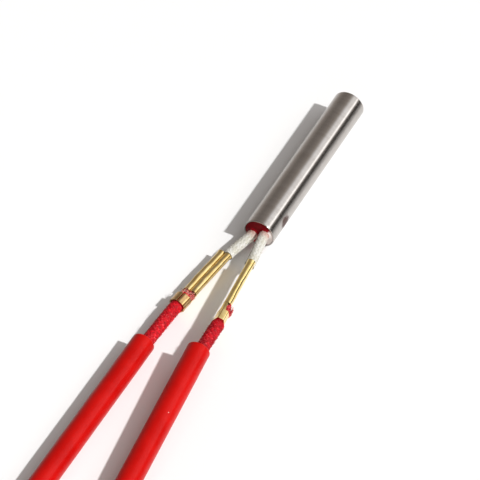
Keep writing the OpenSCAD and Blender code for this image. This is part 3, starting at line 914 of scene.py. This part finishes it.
def make_fray(side, look):
    """The braid's cut end between barrel and grip: a ragged core, a tuft and loose loops."""
    draw = random.Random(11 if side == LEFT else 23)
    shape = Shape()
    start_x = BARREL_L + STRIP_GAP
    core_sides, steps, sides = 18, 9, 4
    if side == LEFT:
        rise, core_r, tuft_angle, spread = 0.1, 0.6, -0.1, 1.0
        tuft, loose, pale = 55, 45, 0.75
    else:
        rise, core_r, tuft_angle, spread = 0.9, 1.35, 1.45, 1.3
        tuft, loose, pale = 220, 0, 0.0
    core = resampled([
        (BARREL_L + 0.2, -0.8 * ROLL_Y, 0.1),
        (BARREL_L + 0.9, -0.3, 0.2 + 0.5 * rise),
        (start_x + 1, 0, WIRE_RISE + 0.4 * rise),
    ], 0.12)
    lumps = np.array([[draw.uniform(-0.1, 0.1) for _ in range(core_sides)] for _ in core])
    swell = core_r * np.interp(np.linspace(0, 1, len(core)), (0, 0.3, 1), (0.7, 0.95, 1.1))
    bleached = np.full(core_sides * len(core), 0.6 * pale)
    shape.rod(in_splice(side, core), swell[:, None] + lumps, core_sides, pale=bleached)
    for k in range(tuft + loose):
        in_tuft = k < tuft
        angle = tuft_angle + draw.gauss(0, 0.5) if in_tuft else draw.uniform(0.0, 2 * math.pi)
        radius = draw.uniform(0.9, 1.6) if in_tuft else draw.uniform(1.3, 1.75)
        drift = draw.uniform(-0.6, 0.6) if in_tuft else draw.uniform(-1.8, 1.8)
        length = draw.uniform(0.8, 2.2)
        flare, lift = draw.uniform(0.0, 0.6), draw.uniform(-0.2, 0.3)
        path = []
        for t in np.linspace(0, 1, steps):
            turn = angle + drift * t * t
            out = spread * (radius + flare * math.sin(2.4 * t) + lift * t * t)
            path.append((
                start_x + 0.9 - length * math.sin(1.7 * t),
                out * math.cos(turn), WIRE_RISE + out * math.sin(turn),
            ))
        bleached = np.full(steps * sides, 0.1 * pale if in_tuft else pale)
        shape.rod(in_splice(side, np.array(path)), np.linspace(0.06, 0.03, steps), sides, pale=bleached)
    shape.points = [pressed(side, points) for points in shape.points]
    return make_piece(f"{side}_fray", shape, look)


def make_fuzz(side, look):
    """Short fibres that stand off the braid between the grip and the sleeving."""
    draw = random.Random(37 if side == LEFT else 41)
    path = resampled(lead_points(side), 0.5)
    along, n, b = carried_frames(path)
    s = cumulative(path)
    first = np.searchsorted(s, SPLICE_GAP - STRIP_GAP + GRIP_L + 0.8)
    last = np.searchsorted(s, run_to_sleeve(side, path, 0.0))
    hairs, steps, sides, root = 150, 6, 3, 0.08
    shares = np.linspace(0, 1, steps)
    shape = Shape()
    for _ in range(hairs):
        i = draw.randrange(first, last)
        turn = draw.uniform(0, 2 * math.pi)
        out = math.cos(turn) * n[i] + math.sin(turn) * b[i]
        lean = unit(along[i] * draw.uniform(-1, 1) + np.cross(along[i], out) * draw.uniform(-1, 1) + 1e-6)
        base = path[i] + out * (WIRE_R - root)
        reach, rise = draw.uniform(0.4, 1.1), draw.uniform(0.05, 0.3)
        hair = [base + lean * reach * t + out * rise * math.sin(2.6 * t) for t in shares]
        shape.rod(np.array(hair), np.linspace(0.03, 0.015, steps), sides)
    return make_piece(f"{side}_fuzz", shape, look)


def make_seal(look):
    """Potting silicone, filled to the rim and drawn up a little round both sleeves."""
    sides, rows = 160, 44
    dome, drawn_up, fade = 0.18, 0.3, 0.25
    radii = (BORE_R - FIT_GAP) * np.sqrt(np.linspace(0, 1, rows + 1))[1:]
    turn = ring_angles(sides)
    y, z = np.multiply.outer(radii, np.cos(turn)), np.multiply.outer(radii, np.sin(turn))
    x = np.full(y.shape, SEAL_X0) - dome * np.clip(1 - (radii / BORE_R) ** 2, 0, 1)[:, None]
    for side in (LEFT, RIGHT):
        centre = pin_axis(side, 0)
        off = np.hypot(y - centre[1], z - centre[2]) - GLASS_R
        x = x - drawn_up * np.exp(-np.clip(off, 0, None) / fade)
    x = x + 0.04 * np.sin(2.3 * y + 0.6) * np.cos(1.9 * z)
    top = np.stack([x, y, z], axis=-1)
    wall = top[-1].copy()
    wall[:, 0] = SEAL_X1
    centre = np.array([[top[0, :, 0].mean(), 0, 0]])
    points = np.concatenate([top.reshape(-1, 3), wall, centre])
    faces = grid_faces(rows + 1, sides, True, 0, True)
    middle = (rows + 1) * sides
    faces += [(middle, (k + 1) % sides, k) for k in range(sides)]
    faces.append(tuple(rows * sides + k for k in range(sides)))
    return make_piece("potted_seal", Shape().add(points, faces), look, ["silicone_seal"], 60)


def make_sheath(look):
    """Ground tube: eased rim and chamfer at the mouth, small round at the closed end."""
    sides, chamfer = 224, MOUTH_CHAMFER
    bend = np.radians(np.linspace(0, 90, 9))
    bend_x, bend_r = SHEATH_L - END_ROUND, SHEATH_R - END_ROUND
    outer = [(0.0, SHEATH_R - 0.07), (0.02, SHEATH_R - 0.02), (0.07, SHEATH_R)]
    outer += [(x, SHEATH_R) for x in np.linspace(0.6, bend_x, 24)]
    outer += [(bend_x + END_ROUND * math.sin(a), bend_r + END_ROUND * math.cos(a)) for a in bend[1:]]
    inner = [(SHEATH_L, BORE_R), (SHEATH_L - 0.5, BORE_R), (chamfer, BORE_R), (0.0, BORE_R + chamfer)]
    profile = np.array(outer + inner)
    turn = ring_angles(sides)
    rings = np.stack([
        np.repeat(profile[:, :1], sides, 1),
        np.multiply.outer(profile[:, 1], np.cos(turn)),
        np.multiply.outer(profile[:, 1], np.sin(turn)),
    ], axis=-1)
    rows = len(profile)
    faces = grid_faces(rows, sides, True, 0, True)
    last = (rows - 1) * sides
    faces += [(last + k, k, (k + 1) % sides, last + (k + 1) % sides) for k in range(sides)]
    return make_piece("ground_sheath", Shape().add(rings, faces), look, ["sheath"], 35)


def make_tie(side, look):
    """A strap drawn round the hank's two layers, with its head outside and the cut tail through it."""
    shape = Shape()
    half = [WIRE_R + SOFT_GAP + TIE_T / 2, 2 * WIRE_R + 1.5 * SOFT_GAP + TIE_T / 2]
    middle_z = FLOOR_Z + half[1] + TIE_T / 2
    corner = 1.3
    loop = []
    for cy, cz, start in ((1, 1, 0), (-1, 1, 90), (-1, -1, 180), (1, -1, 270)):
        for angle in np.radians(np.linspace(start, start + 90, 7)):
            loop.append((
                cy * (half[0] - corner) + corner * math.cos(angle),
                cz * (half[1] - corner) + corner * math.sin(angle),
            ))
    loop = np.array(loop + loop[:1])
    across = np.linspace(0, TIE_W, 5)

    def sheet(offset):
        grown = loop * (1 + offset / np.linalg.norm(loop, axis=1))[:, None]
        y, z = SIGN[side] * FOLD_R + grown[:, 0], middle_z + grown[:, 1]
        return np.array([np.column_stack([np.full(len(grown), TIE_X + x), y, z]) for x in across])

    shape.grid_strip(sheet(TIE_T / 2), sheet(-TIE_T / 2))
    box = np.array([(x, y, z) for x in (-0.5, 0.5) for y in (-0.5, 0.5) for z in (-0.5, 0.5)])
    box_faces = [(0, 1, 3, 2), (4, 6, 7, 5), (0, 4, 5, 1), (2, 3, 7, 6), (0, 2, 6, 4), (1, 5, 7, 3)]
    head_y = SIGN[side] * (FOLD_R + half[0] + 1.5 * TIE_T)
    head, tail = (TIE_HEAD, 2 * TIE_T, TIE_HEAD), (TIE_W * 0.9, 0.5 * TIE_T, TIE_HEAD + 1.2)
    for size, rise in ((head, 0.0), (tail, 0.2)):
        shape.add(box * size + (TIE_X + TIE_W / 2, head_y, middle_z + rise), box_faces)
    piece = make_piece(f"{side}_tie", shape, look, [f"{side}_hank_tie"], 35)
    return softened(piece, 0.09)


def dress(names, look):
    """Give a look to solids that are shown as they are."""
    for name in names:
        nodes[name].data.materials.clear()
        nodes[name].data.materials.append(look)


def make_floor():
    """The surface under the part, far larger than the picture; its reach is in metres."""
    reach = 60.0
    mesh = bpy.data.meshes.new("floor")
    corners = [(x * reach, y * reach, FLOOR_Z * MM) for x, y in ((-1, -1), (1, -1), (1, 1), (-1, 1))]
    mesh.from_pydata(corners, [], [(0, 1, 2, 3)])
    mesh.materials.append(white_floor())
    floor = bpy.data.objects.new("floor", mesh)
    bpy.context.scene.collection.objects.link(floor)


# The scene

bpy.context.scene.view_settings.view_transform = "Standard"
make_camera()
make_light()
make_floor()

cloth = red_cloth()
silicone = red_silicone()
fibre = red_fibre()
brass = bright_brass()
nylon = tie_plastic()
white_braid = glass_cloth()
tinned = drawn_metal("tinned_copper", (0.6, 0.57, 0.52), 0.3)

for side in (LEFT, RIGHT):
    lead, route = make_lead(side, cloth)
    on_lead = [make_joint_sleeve(side, silicone), make_bare_end(side, tinned), make_tie(side, nylon)]
    make_glass_sleeve(side, white_braid)
    make_splice(side, brass)
    make_conductor(side, tinned)
    make_fray(side, fibre)
    make_fuzz(side, fibre)

make_sheath(ground_steel())
make_seal(seal_rubber())
dress(["end_disc"], turned_steel())
dress(["base_insulator", "magnesia_core", "magnesia_fill", "mouth_insulator"], pressed_magnesia())
dress(["heating_coil"], drawn_metal("resistance_wire", (0.36, 0.34, 0.32), 0.4))
dress(["left_terminal_pin", "right_terminal_pin"], drawn_metal("nickel", (0.6, 0.57, 0.52), 0.28))
